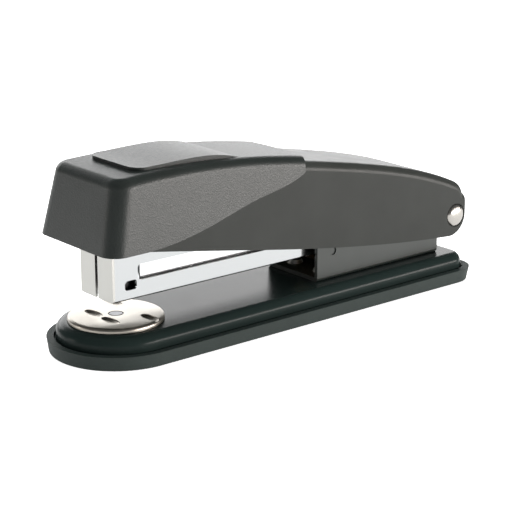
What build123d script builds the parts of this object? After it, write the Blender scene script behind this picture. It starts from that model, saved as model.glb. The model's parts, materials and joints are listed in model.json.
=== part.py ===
"""Desktop stapler with a swinging magazine, a sprung handle and a turning anvil.

Row frame, millimetres: the origin is on the table under the middle of the base,
+X runs towards the rear pivot, +Y is across the stapler and +Z is up.
"""

from build123d import *
import math
import os

os.makedirs("parts", exist_ok=True)

# ---------------------------------------------------------------- base shoe and pan
base_length = 141.6
base_width = 39.8
shoe_height = 4.1
shoe_draft = 8.0
shoe_floor = 1.2
shoe_rear_radius = 7.6
groove_width = 0.6
rim_land = 2.0
button_well_radius = 7.2

pan_top = 8.5
pan_sheet = 1.0
pan_edge_radius = 2.8
pan_rear_radius = 5.6

# ---------------------------------------------------------------- anvil
anvil_inset = 18.9
anvil_radius = 13.3
anvil_thickness = 1.2
anvil_rim_drop = 0.15
anvil_clearance = 0.1
groove_spacing = 4.6
groove_leaf_length = 7.2
groove_leaf_width = 2.6
groove_leaf_lift = 0.45
flare_spacing = 5.1
anvil_pin_radius = 1.5
anvil_head_radius = 2.1
anvil_head_height = 0.6
anvil_shoulder_radius = 2.8
anvil_washer_radius = 5.0
anvil_washer_thickness = 0.8
anvil_spring_wire = 0.45
anvil_spring_radius = 3.7
anvil_spring_turns = 3
anvil_spring_space = 2.9
anvil_pin_tail = 0.4
coil_end_gap = 0.02
groove_start = 0.6
flare_start = 5.4
pin_running_gap = 0.05

# ---------------------------------------------------------------- pivot and bracket
pivot_inset = 4.1
pivot_height = 19.5
pivot_pin_radius = 1.8
ear_radius = 3.6
pin_head_radius = 3.5
pin_head_height = 1.3
pin_head_dome = 1.1
bracket_gap = 0.4
bracket_sheet = 1.2
bracket_front_inset = 82.4
bracket_rear_inset = 9.9
bracket_top = 24.0
bracket_rivet_radius = 1.6
bracket_rivet_head = 2.6
bracket_rivet_rise = 1.0
bracket_rivet_front = 6.0
bracket_rivet_rear = 4.0
bracket_rivet_spread = 6.0
rivet_taper = 25
dimple_radius = 1.3
dimple_depth = 0.35
dimple_drop = 2.5
spacer_radius = 3.2
spacer_gap = 0.1
lift_spring_width = 8.0
lift_spring_sheet = 0.5
lift_spring_length = 24.5
lift_spring_flat = 10.0
lift_spring_tip = 4.0

# ---------------------------------------------------------------- magazine
magazine_front_inset = 12.93
magazine_width = 15.0
magazine_sheet = 0.7
magazine_bend_radius = 0.6
magazine_bottom = 15.7
magazine_top = 29.0
magazine_rear_top = 27.0
tab_gap = 1.2
slot_front_inset = 21.2
slot_low = 20.7
slot_high = 25.2
slot_rear_inset = 22.0
slot_corner = 1.0
window_front_inset = 16.9
window_length = 3.9
window_low = 18.5
window_high = 21.2

staple_leg_gap = 0.75
staple_nose_gap = 1.9
rail_nose_length = 7.9
rail_top = 25.2
rail_sheet = 0.7
rail_slot_width = 3.2
rail_gap = 0.2
rail_slot_inset = 0.8
rail_slot_rear = 2.0

rod_radius = 1.0
rod_height = 20.4
rear_block_length = 7.0
rear_block_top = 24.2
rear_block_inset = 8.5
magazine_rivet_radius = 1.1
magazine_rivet_low = 18.2
magazine_rivet_high = 21.2
magazine_rivet_proud = 0.3

pusher_length = 12.0
pusher_plate = 1.5
pusher_side_gap = 0.5
pusher_rail_gap = 0.1
pusher_front_gap = 0.25
pusher_collar_inset = 2.6
pusher_collar_length = 8.0
pusher_collar_gap = 0.9
pusher_spring_wire = 0.4
pusher_spring_radius = 2.5
pusher_spring_turns = 16

# ---------------------------------------------------------------- driver
blade_front_gap = 0.7
blade_sheet = 0.6
blade_side_gap = 0.5
blade_bottom = 26.1
blade_lean = 2.4
blade_foot_length = 9.0
arm_sheet = 1.2
arm_front_height = 37.4
arm_rear_height = 27.9
arm_rear_inset = 9.5
arm_ear_sheet = 1.0
arm_ear_length = 12.0
post_front_inset = 42.0
post_pitch = 34.0
post_radius = 2.0
post_boss_radius = 3.6
driver_rivet_radius = 1.0
driver_rivet_head = 1.9
small_rivet_rise = 0.9
driver_rivet_inset = 5.0
driver_rivet_spread = 3.5
return_spring_sheet = 0.5
return_spring_width = 6.0
return_spring_flat = 10.0
return_spring_drop = 14.0

# ---------------------------------------------------------------- handle and cap
handle_width = 26.0
handle_wall = 1.6
handle_front_inset = 17.0
handle_rear_gap = 0.05
handle_edge_radius = 2.6
handle_shoulder = 6.4
handle_heel_radius = 6.4
head_recess_depth = 0.4
cap_wall = 1.1
cap_front_margin = 5.2
cap_rear_margin = 2.5
cap_front_inset = 5.5
cap_rear_inset = 77.2
cap_rear_bow = 4.2
cap_low = 31.6
cap_draft = 6.5
cap_lean = 12.0
cap_corner_radius = 4.9
cap_edge_radius = 3.0
cap_seat = 0.25
pad_half_width = 11.3
pad_front_inset = 18.4
pad_rise = 0.95
pad_length = 40.0
pad_corner_radius = 4.0

# ---------------------------------------------------------------- derived places
front = -base_length / 2
rear = base_length / 2
pivot_x = rear - pivot_inset
anvil_x = front + anvil_inset
shoe_bottom_inset = shoe_height * math.tan(math.radians(shoe_draft))
pan_inset = rim_land + groove_width
magazine_front = front + magazine_front_inset
magazine_floor = magazine_bottom + magazine_sheet
magazine_inner = magazine_width / 2 - magazine_sheet
rail_half_width = magazine_inner - staple_leg_gap
rail_nose_half_width = magazine_inner - staple_nose_gap
pusher_half_width = magazine_inner - pusher_side_gap
pusher_collar_half_width = rail_nose_half_width - rail_sheet - pusher_collar_gap
blade_width = (magazine_inner - blade_side_gap) * 2
arm_half_width = magazine_inner - blade_side_gap
blade_x = magazine_front + magazine_sheet + blade_front_gap
rail_front = blade_x + blade_sheet + rail_gap
handle_rear = rear - handle_rear_gap
handle_inner = handle_width / 2 - handle_wall
bracket_width = (handle_inner - bracket_gap) * 2
bracket_inner = bracket_width / 2 - bracket_sheet
cap_front_width = handle_width + cap_front_margin * 2
cap_rear_width = handle_width + cap_rear_margin * 2
bracket_floor = pan_top + bracket_sheet
rear_block_x = pivot_x - rear_block_inset - rear_block_length / 2
anvil_under = pan_top + anvil_clearance + anvil_rim_drop
anvil_top = anvil_under + anvil_thickness
foot_front = front + bracket_front_inset
foot_rear = pivot_x - bracket_rear_inset + pivot_inset
bracket_rivet_xs = (foot_front + bracket_rivet_front, foot_rear - pivot_inset - bracket_rivet_rear)
bracket_rivet_spots = [
    (x, y) for x in bracket_rivet_xs for y in (-bracket_rivet_spread, bracket_rivet_spread)
]
magazine_rivet_spots = [(rear_block_x, z) for z in (magazine_rivet_low, magazine_rivet_high)]
arm_slope = (arm_front_height - arm_rear_height) / (
    pivot_x - arm_rear_inset - (blade_x + blade_sheet)
)


def wall_plane(y):
    """Upright XZ plane standing at this Y; an extrusion from it runs towards lower Y."""
    return Plane.XZ.offset(-y)


def base_outline(inset, rear_radius):
    """Plan of the base, moved in by inset: a full half-round nose and rounded rear corners."""
    half = base_width / 2 - inset
    nose_centre = front + base_width / 2
    tail = rear - inset
    with BuildSketch() as plan:
        with BuildLine():
            Line((nose_centre, half), (tail - rear_radius, half))
            RadiusArc((tail - rear_radius, half), (tail, half - rear_radius), rear_radius)
            Line((tail, half - rear_radius), (tail, rear_radius - half))
            RadiusArc((tail, rear_radius - half), (tail - rear_radius, -half), rear_radius)
            Line((tail - rear_radius, -half), (nose_centre, -half))
            ThreePointArc((nose_centre, -half), (nose_centre - half, 0), (nose_centre, half))
        make_face()
    return plan.sketch


def arm_underside(x):
    """Height of the driver arm's underside at this X."""
    return arm_front_height - arm_slope * (x - blade_x - blade_sheet)


# ================================================================ base
with BuildPart() as base_shoe:
    with BuildSketch(Plane.XY):
        add(base_outline(shoe_bottom_inset, shoe_rear_radius))
    with BuildSketch(Plane.XY.offset(shoe_height)):
        add(base_outline(0, shoe_rear_radius))
    loft()
    with BuildSketch(Plane.XY.offset(shoe_height)):
        add(base_outline(pan_inset - groove_width, pan_rear_radius + groove_width))
    extrude(amount=-groove_width * 2, mode=Mode.SUBTRACT)
    with BuildSketch(Plane.XY.offset(shoe_height)):
        add(base_outline(pan_inset, pan_rear_radius))
    extrude(amount=shoe_floor - shoe_height, mode=Mode.SUBTRACT)
    with BuildSketch(Plane.XY):
        with Locations((anvil_x, 0)):
            Circle(button_well_radius)
    extrude(amount=shoe_floor, mode=Mode.SUBTRACT)
    fillet(base_shoe.faces().sort_by(Axis.Z)[0].outer_wire().edges(), 0.5)
base_shoe.part.label = "base_shoe"
export_step(base_shoe.part, "parts/base_shoe.step")

with BuildPart() as base_pan:
    with BuildSketch(Plane.XY.offset(shoe_floor)):
        add(base_outline(pan_inset, pan_rear_radius))
    extrude(amount=pan_top - shoe_floor)
    fillet(base_pan.faces().sort_by(Axis.Z)[-1].edges(), pan_edge_radius)
    with BuildSketch(Plane.XY.offset(shoe_floor)):
        add(base_outline(pan_inset + pan_sheet, pan_rear_radius - pan_sheet))
    extrude(amount=pan_top - pan_sheet - shoe_floor - pan_edge_radius / 2, mode=Mode.SUBTRACT)
    with BuildSketch(Plane.XY.offset(shoe_floor)):
        add(base_outline(pan_inset + pan_edge_radius, pan_rear_radius - pan_edge_radius + pan_sheet))
    extrude(amount=pan_top - pan_sheet - shoe_floor, mode=Mode.SUBTRACT)
    with BuildSketch(Plane.XY.offset(pan_top)):
        with Locations((anvil_x, 0)):
            Circle(anvil_shoulder_radius + pin_running_gap)
    extrude(amount=-pan_sheet * 2, mode=Mode.SUBTRACT)
    with BuildSketch(Plane.XY.offset(pan_top)):
        with Locations(*bracket_rivet_spots):
            Circle(bracket_rivet_radius)
    extrude(amount=-pan_sheet * 2, mode=Mode.SUBTRACT)
base_pan.part.label = "base_pan"
export_step(base_pan.part, "parts/base_pan.step")

with BuildPart() as pivot_bracket:
    with BuildSketch(Plane.XZ):
        with BuildLine():
            Line((foot_front, pan_top), (foot_front, bracket_top))
            Line((foot_front, bracket_top), (pivot_x, pivot_height + ear_radius))
            ThreePointArc(
                (pivot_x, pivot_height + ear_radius),
                (pivot_x + ear_radius, pivot_height),
                (pivot_x, pivot_height - ear_radius),
            )
            Line((pivot_x, pivot_height - ear_radius), (foot_rear, pivot_height - ear_radius - 1))
            Line((foot_rear, pivot_height - ear_radius - 1), (foot_rear, pan_top))
            Line((foot_rear, pan_top), (foot_front, pan_top))
        make_face()
    extrude(amount=bracket_width / 2, both=True)
    fillet(pivot_bracket.faces().sort_by(Axis.Z)[0].edges().filter_by(Axis.X), 1.0)
    with BuildSketch(Plane.XZ):
        with Locations((0, bracket_floor + base_length / 2)):
            Rectangle(base_length * 1.2, base_length)
    extrude(amount=bracket_inner, both=True, mode=Mode.SUBTRACT)
    with BuildSketch(Plane.XZ):
        with Locations((pivot_x, pivot_height)):
            Circle(pivot_pin_radius)
    extrude(amount=bracket_width, both=True, mode=Mode.SUBTRACT)
    with BuildSketch(Plane.XY.offset(pan_top)):
        with Locations(*bracket_rivet_spots):
            Circle(bracket_rivet_radius)
    extrude(amount=bracket_sheet, mode=Mode.SUBTRACT)
    for side in (-1, 1):
        with BuildSketch(wall_plane(side * bracket_width / 2)):
            with Locations((foot_front + bracket_rivet_front, pivot_height - dimple_drop)):
                Circle(dimple_radius)
        extrude(amount=side * dimple_depth, mode=Mode.SUBTRACT)
pivot_bracket.part.label = "pivot_bracket"
export_step(pivot_bracket.part, "parts/pivot_bracket.step")

with BuildPart() as bracket_rivets:
    with BuildSketch(Plane.XY.offset(pan_top - pan_sheet)):
        with Locations(*bracket_rivet_spots):
            Circle(bracket_rivet_radius)
    extrude(amount=pan_sheet + bracket_sheet)
    with BuildSketch(Plane.XY.offset(bracket_floor)):
        with Locations(*bracket_rivet_spots):
            Circle(bracket_rivet_head)
    extrude(amount=bracket_rivet_rise, taper=rivet_taper)
    with BuildSketch(Plane.XY.offset(pan_top - pan_sheet)):
        with Locations(*bracket_rivet_spots):
            Circle(bracket_rivet_head)
    extrude(amount=-bracket_rivet_rise, taper=rivet_taper)
bracket_rivets.part.label = "bracket_rivets"
export_step(bracket_rivets.part, "parts/bracket_rivets.step")

with BuildPart() as pivot_pin:
    with BuildSketch(Plane.XZ):
        with Locations((pivot_x, pivot_height)):
            Circle(pivot_pin_radius)
    extrude(amount=handle_width / 2 - head_recess_depth, both=True)
    head_seat = handle_width / 2 - head_recess_depth
    for side in (-1, 1):
        with BuildSketch(wall_plane(side * head_seat)):
            with Locations((pivot_x, pivot_height)):
                Circle(pin_head_radius)
        extrude(amount=-side * pin_head_height)
    crown_edges = [pivot_pin.faces().sort_by(Axis.Y)[i].edges() for i in (0, -1)]
    fillet(crown_edges[0] + crown_edges[1], pin_head_dome)
pivot_pin.part.label = "pivot_pin"
export_step(pivot_pin.part, "parts/pivot_pin.step")

with BuildPart() as pivot_spacers:
    for low, high in ((magazine_width / 2, bracket_inner), (-bracket_inner, -magazine_width / 2)):
        with BuildSketch(wall_plane(high - (spacer_gap if high < 0 else 0))):
            with Locations((pivot_x, pivot_height)):
                Circle(spacer_radius)
                Circle(pivot_pin_radius, mode=Mode.SUBTRACT)
        extrude(amount=high - low - spacer_gap)
pivot_spacers.part.label = "pivot_spacers"
export_step(pivot_spacers.part, "parts/pivot_spacers.step")

with BuildPart() as lift_spring:
    spring_rear = foot_front + lift_spring_length
    spring_bend = spring_rear - lift_spring_flat
    with BuildSketch(Plane.XZ):
        with BuildLine():
            Line((spring_rear, bracket_floor), (spring_bend, bracket_floor))
            tip = (foot_front + lift_spring_tip, magazine_bottom - lift_spring_sheet)
            TangentArc((spring_bend, bracket_floor), tip, tangent=(-1, 0))
            Line(tip, (tip[0], magazine_bottom))
            back = (spring_bend, bracket_floor + lift_spring_sheet)
            TangentArc(back, (tip[0], magazine_bottom), tangent=(-1, 0))
            Line(back, (spring_rear, bracket_floor + lift_spring_sheet))
            Line((spring_rear, bracket_floor + lift_spring_sheet), (spring_rear, bracket_floor))
        make_face()
    extrude(amount=lift_spring_width / 2, both=True)
lift_spring.part.label = "lift_spring"
export_step(lift_spring.part, "parts/lift_spring.step")

with BuildPart() as lift_spring_rivet:
    with BuildSketch(Plane.XY.offset(bracket_floor + lift_spring_sheet)):
        with Locations((spring_rear - lift_spring_flat / 2, 0)):
            Circle(bracket_rivet_head)
    extrude(amount=small_rivet_rise, taper=rivet_taper)
lift_spring_rivet.part.label = "lift_spring_rivet"
export_step(lift_spring_rivet.part, "parts/lift_spring_rivet.step")

# ================================================================ anvil
with BuildPart() as anvil_plate:
    with BuildSketch(Plane.XY.offset(anvil_under)):
        with Locations((anvil_x, 0)):
            Circle(anvil_radius)
    extrude(amount=anvil_thickness)
    with BuildSketch(Plane.XY.offset(anvil_under)):
        with Locations((anvil_x, 0)):
            Circle(anvil_radius)
            Circle(anvil_radius - 1.2, mode=Mode.SUBTRACT)
    extrude(amount=-anvil_rim_drop)
    fillet(anvil_plate.faces().sort_by(Axis.Z)[-1].edges(), 0.8)
    with BuildSketch(Plane.XY.offset(anvil_top)):
        with Locations((anvil_x, 0)):
            Circle(anvil_pin_radius + pin_running_gap)
    extrude(amount=-anvil_thickness, mode=Mode.SUBTRACT)
    with BuildSketch(Plane.XY.offset(anvil_top)):
        with Locations((anvil_x, 0)):
            Circle(anvil_head_radius + pin_running_gap)
    extrude(amount=-anvil_head_height, mode=Mode.SUBTRACT)
    for x, start in ((-groove_spacing, groove_start), (flare_spacing, flare_start)):
        for side in (-1, 1):
            near = (anvil_x + x, side * start)
            far = (anvil_x + x, side * (start + groove_leaf_length))
            belly = (anvil_x + x + groove_leaf_width / 2, (near[1] + far[1]) / 2)
            with BuildSketch(Plane.XY.offset(anvil_top + groove_leaf_lift)):
                with BuildLine():
                    Line(near, far)
                    ThreePointArc(far, belly, near)
                make_face()
            leaf_axis = Axis((near[0], near[1], anvil_top + groove_leaf_lift), (0, 1, 0))
            revolve(axis=leaf_axis, mode=Mode.SUBTRACT)
anvil_plate.part.label = "anvil_plate"
export_step(anvil_plate.part, "parts/anvil_plate.step")

with BuildPart() as anvil_pin:
    washer_top = pan_top - pan_sheet - anvil_spring_space
    with BuildSketch(Plane.XY.offset(washer_top)):
        with Locations((anvil_x, 0)):
            Circle(anvil_shoulder_radius)
    extrude(amount=anvil_under - pin_running_gap - washer_top)
    pin_low = washer_top - anvil_washer_thickness - anvil_pin_tail
    with BuildSketch(Plane.XY.offset(pin_low)):
        with Locations((anvil_x, 0)):
            Circle(anvil_pin_radius)
    extrude(amount=anvil_top - anvil_head_height - pin_low)
    with BuildSketch(Plane.XY.offset(anvil_top - anvil_head_height)):
        with Locations((anvil_x, 0)):
            Circle(anvil_head_radius)
    extrude(amount=anvil_head_height)
    fillet(anvil_pin.faces().sort_by(Axis.Z)[-1].edges(), 0.5)
anvil_pin.part.label = "anvil_pin"
export_step(anvil_pin.part, "parts/anvil_pin.step")

with BuildPart() as anvil_washer:
    with BuildSketch(Plane.XY.offset(washer_top - anvil_washer_thickness)):
        with Locations((anvil_x, 0)):
            Circle(anvil_washer_radius)
            Circle(anvil_pin_radius, mode=Mode.SUBTRACT)
    extrude(amount=anvil_washer_thickness)
anvil_washer.part.label = "anvil_washer"
export_step(anvil_washer.part, "parts/anvil_washer.step")

with BuildPart() as anvil_spring:
    coil_low = washer_top + anvil_spring_wire / 2 + coil_end_gap
    coil_rise = anvil_spring_space - anvil_spring_wire - coil_end_gap * 2
    with BuildLine():
        anvil_coil = Helix(
            pitch=coil_rise / anvil_spring_turns,
            height=coil_rise,
            radius=anvil_spring_radius,
            center=(anvil_x, 0, coil_low),
        )
    with BuildSketch(Plane(origin=anvil_coil @ 0, z_dir=anvil_coil % 0)):
        Circle(anvil_spring_wire / 2)
    sweep(path=anvil_coil)
anvil_spring.part.label = "anvil_spring"
export_step(anvil_spring.part, "parts/anvil_spring.step")

# ================================================================ magazine
with BuildPart() as magazine_channel:
    with BuildSketch(Plane.XZ):
        with BuildLine():
            Line((magazine_front, magazine_bottom), (magazine_front, magazine_top))
            Line((magazine_front, magazine_top), (rear_block_x, magazine_rear_top))
            Line((rear_block_x, magazine_rear_top), (pivot_x, pivot_height + ear_radius))
            ThreePointArc(
                (pivot_x, pivot_height + ear_radius),
                (pivot_x + ear_radius, pivot_height),
                (pivot_x, pivot_height - ear_radius),
            )
            Line((pivot_x, pivot_height - ear_radius), (pivot_x - ear_radius, magazine_bottom))
            Line((pivot_x - ear_radius, magazine_bottom), (magazine_front, magazine_bottom))
        make_face()
    extrude(amount=magazine_width / 2, both=True)
    with BuildSketch(Plane.YZ.offset(magazine_front)) as section:
        with Locations((0, magazine_bottom)):
            Rectangle(magazine_width, base_length, align=(Align.CENTER, Align.MIN))
        fillet(section.vertices().group_by(Axis.Z)[0], magazine_bend_radius)
    extrude(amount=base_length, mode=Mode.INTERSECT)
    with BuildSketch(Plane.XZ):
        with Locations((magazine_front + magazine_sheet, magazine_floor)):
            Rectangle(base_length * 2, base_length, align=(Align.MIN, Align.MIN))
    extrude(amount=magazine_inner, both=True, mode=Mode.SUBTRACT)
    with BuildSketch(Plane.XY.offset(magazine_bottom)):
        with Locations((magazine_front, 0)):
            Rectangle(magazine_sheet * 2, tab_gap)
    extrude(amount=base_length, mode=Mode.SUBTRACT)
    with BuildSketch(Plane.XY.offset(magazine_bottom)):
        with Locations((magazine_front + magazine_sheet, 0)):
            exit_length = rail_front - magazine_front - magazine_sheet
            Rectangle(exit_length, magazine_inner * 2, align=(Align.MIN, Align.CENTER))
    extrude(amount=magazine_sheet, mode=Mode.SUBTRACT)
    with BuildSketch(Plane.XY.offset(magazine_bottom)):
        with Locations((pivot_x - ear_radius, 0)):
            Rectangle(ear_radius * 3, magazine_inner * 2, align=(Align.MIN, Align.CENTER))
    extrude(amount=magazine_sheet, mode=Mode.SUBTRACT)
    slot_front = front + slot_front_inset
    slot_rear = pivot_x - slot_rear_inset
    with BuildSketch(Plane.XZ):
        with Locations(((slot_front + slot_rear) / 2, (slot_low + slot_high) / 2)):
            RectangleRounded(slot_rear - slot_front, slot_high - slot_low, slot_corner)
        with Locations(
            (front + window_front_inset + window_length / 2, (window_low + window_high) / 2)
        ):
            RectangleRounded(window_length, window_high - window_low, 0.8)
    extrude(amount=magazine_width, both=True, mode=Mode.SUBTRACT)
    with BuildSketch(Plane.XZ):
        with Locations((pivot_x, pivot_height)):
            Circle(pivot_pin_radius + pin_running_gap)
    extrude(amount=magazine_width, both=True, mode=Mode.SUBTRACT)
    with BuildSketch(Plane.XZ):
        with Locations(*magazine_rivet_spots):
            Circle(magazine_rivet_radius)
    extrude(amount=magazine_width, both=True, mode=Mode.SUBTRACT)
magazine_channel.part.label = "magazine_channel"
export_step(magazine_channel.part, "parts/magazine_channel.step")

with BuildPart() as staple_rail:
    rail_rear = rear_block_x - rear_block_length / 2
    rail_shoulder = front + slot_front_inset + 1.8
    with BuildSketch(Plane.XY.offset(magazine_floor)):
        with BuildLine():
            Polyline(
                (rail_front, -rail_nose_half_width),
                (rail_shoulder - 1, -rail_nose_half_width),
                (rail_shoulder, -rail_half_width),
                (rail_rear, -rail_half_width),
                (rail_rear, rail_half_width),
                (rail_shoulder, rail_half_width),
                (rail_shoulder - 1, rail_nose_half_width),
                (rail_front, rail_nose_half_width),
                close=True,
            )
        make_face()
    extrude(amount=rail_top - magazine_floor)
    with BuildSketch(Plane.XY.offset(magazine_floor)):
        with Locations((rail_front + rail_sheet, 0)):
            Rectangle(
                base_length,
                (rail_nose_half_width - rail_sheet) * 2,
                align=(Align.MIN, Align.CENTER),
            )
        with Locations((rail_shoulder, 0)):
            Rectangle(
                base_length, (rail_half_width - rail_sheet) * 2, align=(Align.MIN, Align.CENTER)
            )
    extrude(amount=rail_top - magazine_floor - rail_sheet, mode=Mode.SUBTRACT)
    with BuildSketch(Plane.XY.offset(rail_top)):
        slot_start = rail_front + rail_sheet + rail_slot_inset
        slot_length = rail_rear - slot_start - rail_slot_rear
        with Locations((slot_start, 0)):
            Rectangle(slot_length, rail_slot_width, align=(Align.MIN, Align.CENTER))
    extrude(amount=-rail_sheet, mode=Mode.SUBTRACT)
    with BuildSketch(Plane.YZ.offset(rail_front)):
        with Locations((0, rod_height)):
            Circle(rod_radius)
    extrude(amount=rail_sheet, mode=Mode.SUBTRACT)
staple_rail.part.label = "staple_rail"
export_step(staple_rail.part, "parts/staple_rail.step")

with BuildPart() as rear_block:
    with BuildSketch(Plane.XZ):
        with Locations((rear_block_x, (magazine_floor + rear_block_top) / 2)):
            Rectangle(rear_block_length, rear_block_top - magazine_floor)
        with Locations(*magazine_rivet_spots):
            Circle(magazine_rivet_radius, mode=Mode.SUBTRACT)
    extrude(amount=magazine_inner, both=True)
    chamfer(rear_block.edges().filter_by(Axis.Y).group_by(Axis.Z)[-1], 0.6)
rear_block.part.label = "rear_block"
export_step(rear_block.part, "parts/rear_block.step")

with BuildPart() as magazine_rivets:
    with BuildSketch(Plane.XZ):
        with Locations(*magazine_rivet_spots):
            Circle(magazine_rivet_radius)
    extrude(amount=magazine_width / 2 + magazine_rivet_proud, both=True)
magazine_rivets.part.label = "magazine_rivets"
export_step(magazine_rivets.part, "parts/magazine_rivets.step")

with BuildPart() as guide_rod:
    with BuildSketch(Plane.YZ.offset(rail_front)):
        with Locations((0, rod_height)):
            Circle(rod_radius)
    extrude(amount=rail_rear - rail_front)
guide_rod.part.label = "guide_rod"
export_step(guide_rod.part, "parts/guide_rod.step")

with BuildPart() as pusher:
    pusher_front = rail_front + pusher_front_gap
    collar_front = pusher_front + pusher_collar_inset
    with BuildSketch(Plane.XY.offset(rail_top + pusher_rail_gap)):
        with Locations((pusher_front, 0)):
            Rectangle(pusher_length, pusher_half_width * 2, align=(Align.MIN, Align.CENTER))
    extrude(amount=pusher_plate)
    fillet(pusher.edges().filter_by(Axis.Z), 1.0)
    with BuildSketch(Plane.XY.offset(rail_top + pusher_rail_gap)):
        with Locations((collar_front, 0)):
            neck_width = rail_slot_width - rail_gap * 2
            Rectangle(pusher_collar_length, neck_width, align=(Align.MIN, Align.CENTER))
    extrude(amount=rod_height - rail_top)
    with BuildSketch(Plane.YZ.offset(collar_front)):
        with Locations((0, rod_height)):
            Rectangle(pusher_collar_half_width * 2, pusher_collar_half_width * 2)
    extrude(amount=pusher_collar_length)
    with BuildSketch(Plane.YZ.offset(collar_front)):
        with Locations((0, rod_height)):
            Circle(rod_radius + pin_running_gap)
    extrude(amount=pusher_collar_length, mode=Mode.SUBTRACT)
pusher.part.label = "pusher"
export_step(pusher.part, "parts/pusher.step")

with BuildPart() as pusher_spring:
    coil_inset = pusher_spring_wire / 2 + coil_end_gap
    coil_front = collar_front + pusher_collar_length + coil_inset
    coil_length = rail_rear - coil_inset - coil_front
    with BuildLine():
        pusher_coil = Helix(
            pitch=coil_length / pusher_spring_turns,
            height=coil_length,
            radius=pusher_spring_radius,
            center=(coil_front, 0, rod_height),
            direction=(1, 0, 0),
        )
    with BuildSketch(Plane(origin=pusher_coil @ 0, z_dir=pusher_coil % 0)):
        Circle(pusher_spring_wire / 2)
    sweep(path=pusher_coil)
pusher_spring.part.label = "pusher_spring"
export_step(pusher_spring.part, "parts/pusher_spring.step")

# ================================================================ driver
lean = math.radians(blade_lean)
blade_shift = (arm_front_height + arm_sheet - blade_bottom) * math.tan(lean)
arm_front = blade_x + blade_sheet + blade_shift
arm_rear = pivot_x - arm_rear_inset
rivet_x = arm_front + driver_rivet_inset
driver_rivet_spots = [(rivet_x, y) for y in (-driver_rivet_spread, driver_rivet_spread)]
post_xs = (front + post_front_inset, front + post_front_inset + post_pitch)

with BuildPart() as driver_arm:
    with BuildSketch(Plane.XZ):
        with BuildLine():
            Polyline(
                (arm_front, arm_underside(arm_front)),
                (arm_front, arm_underside(arm_front) + arm_sheet),
                (arm_rear, arm_underside(arm_rear) + arm_sheet),
                (arm_rear, arm_underside(arm_rear)),
                close=True,
            )
        make_face()
    extrude(amount=arm_half_width, both=True)
    ear_front = arm_rear - arm_ear_length
    for low, high in (
        (arm_half_width - arm_ear_sheet, arm_half_width),
        (-arm_half_width, arm_ear_sheet - arm_half_width),
    ):
        with BuildSketch(wall_plane(high)):
            with BuildLine():
                Line((ear_front, arm_underside(ear_front) + 0.3), (arm_rear + 2.5, pivot_height + 5.5))
                Line((arm_rear + 2.5, pivot_height + 5.5), (pivot_x - ear_radius, pivot_height))
                ThreePointArc(
                    (pivot_x - ear_radius, pivot_height),
                    (pivot_x, pivot_height - ear_radius),
                    (pivot_x + ear_radius, pivot_height),
                )
                Line((pivot_x + ear_radius, pivot_height), (pivot_x - 1, arm_underside(pivot_x)))
                Line((pivot_x - 1, arm_underside(pivot_x)), (arm_rear, arm_underside(arm_rear) + 1))
                Line(
                    (arm_rear, arm_underside(arm_rear) + 1),
                    (ear_front, arm_underside(ear_front) + 0.3),
                )
            make_face()
        extrude(amount=high - low)
    with BuildSketch(Plane.XZ):
        with Locations((pivot_x, pivot_height)):
            Circle(pivot_pin_radius + pin_running_gap)
    extrude(amount=handle_width, both=True, mode=Mode.SUBTRACT)
    with BuildSketch(Plane.XY):
        with Locations(*[(x, 0) for x in post_xs]):
            Circle(post_radius)
        with Locations(*driver_rivet_spots):
            Circle(driver_rivet_radius)
    extrude(amount=base_length, mode=Mode.SUBTRACT)
driver_arm.part.label = "driver_arm"
export_step(driver_arm.part, "parts/driver_arm.step")

with BuildPart() as driver_blade:
    foot_rear_x = arm_front + blade_foot_length
    with BuildSketch(Plane.XZ):
        with BuildLine():
            Polyline(
                (blade_x, blade_bottom),
                (blade_x + blade_sheet, blade_bottom),
                (arm_front, arm_underside(arm_front)),
                (arm_front, arm_underside(arm_front) + arm_sheet),
                (foot_rear_x, arm_underside(foot_rear_x) + arm_sheet),
                (foot_rear_x, arm_underside(foot_rear_x) + arm_sheet + blade_sheet),
                (arm_front - blade_sheet, arm_underside(arm_front) + arm_sheet + blade_sheet),
                close=True,
            )
        make_face()
    extrude(amount=blade_width / 2, both=True)
    with BuildSketch(Plane.XY):
        with Locations(*driver_rivet_spots):
            Circle(driver_rivet_radius)
    extrude(amount=base_length, mode=Mode.SUBTRACT)
driver_blade.part.label = "driver_blade"
export_step(driver_blade.part, "parts/driver_blade.step")

with BuildPart() as driver_rivets:
    rivet_low = arm_underside(rivet_x - driver_rivet_head) + arm_sheet + blade_sheet
    with BuildSketch(Plane.XY.offset(rivet_low)):
        with Locations(*driver_rivet_spots):
            Circle(driver_rivet_head)
    extrude(amount=small_rivet_rise, taper=rivet_taper)
    with BuildSketch(Plane.XY.offset(rivet_low)):
        with Locations(*driver_rivet_spots):
            Circle(driver_rivet_radius)
    extrude(amount=-arm_sheet - blade_sheet)
driver_rivets.part.label = "driver_rivets"
export_step(driver_rivets.part, "parts/driver_rivets.step")

with BuildPart() as return_spring:
    leaf_bend = arm_rear - return_spring_drop
    leaf_front = leaf_bend - return_spring_flat
    leaf_tip = (rear_block_x, rear_block_top + return_spring_sheet + pin_running_gap)
    with BuildSketch(Plane.XZ):
        with BuildLine():
            start = (leaf_front, arm_underside(leaf_front))
            bend = (leaf_bend, arm_underside(leaf_bend))
            start_low = (start[0], start[1] - return_spring_sheet)
            bend_low = (bend[0], bend[1] - return_spring_sheet)
            tip_low = (leaf_tip[0], leaf_tip[1] - return_spring_sheet)
            Line(start, bend)
            Line(bend, leaf_tip)
            Line(leaf_tip, tip_low)
            Line(tip_low, bend_low)
            Line(bend_low, start_low)
            Line(start_low, start)
        make_face()
    extrude(amount=return_spring_width / 2, both=True)
return_spring.part.label = "return_spring"
export_step(return_spring.part, "parts/return_spring.step")

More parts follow.
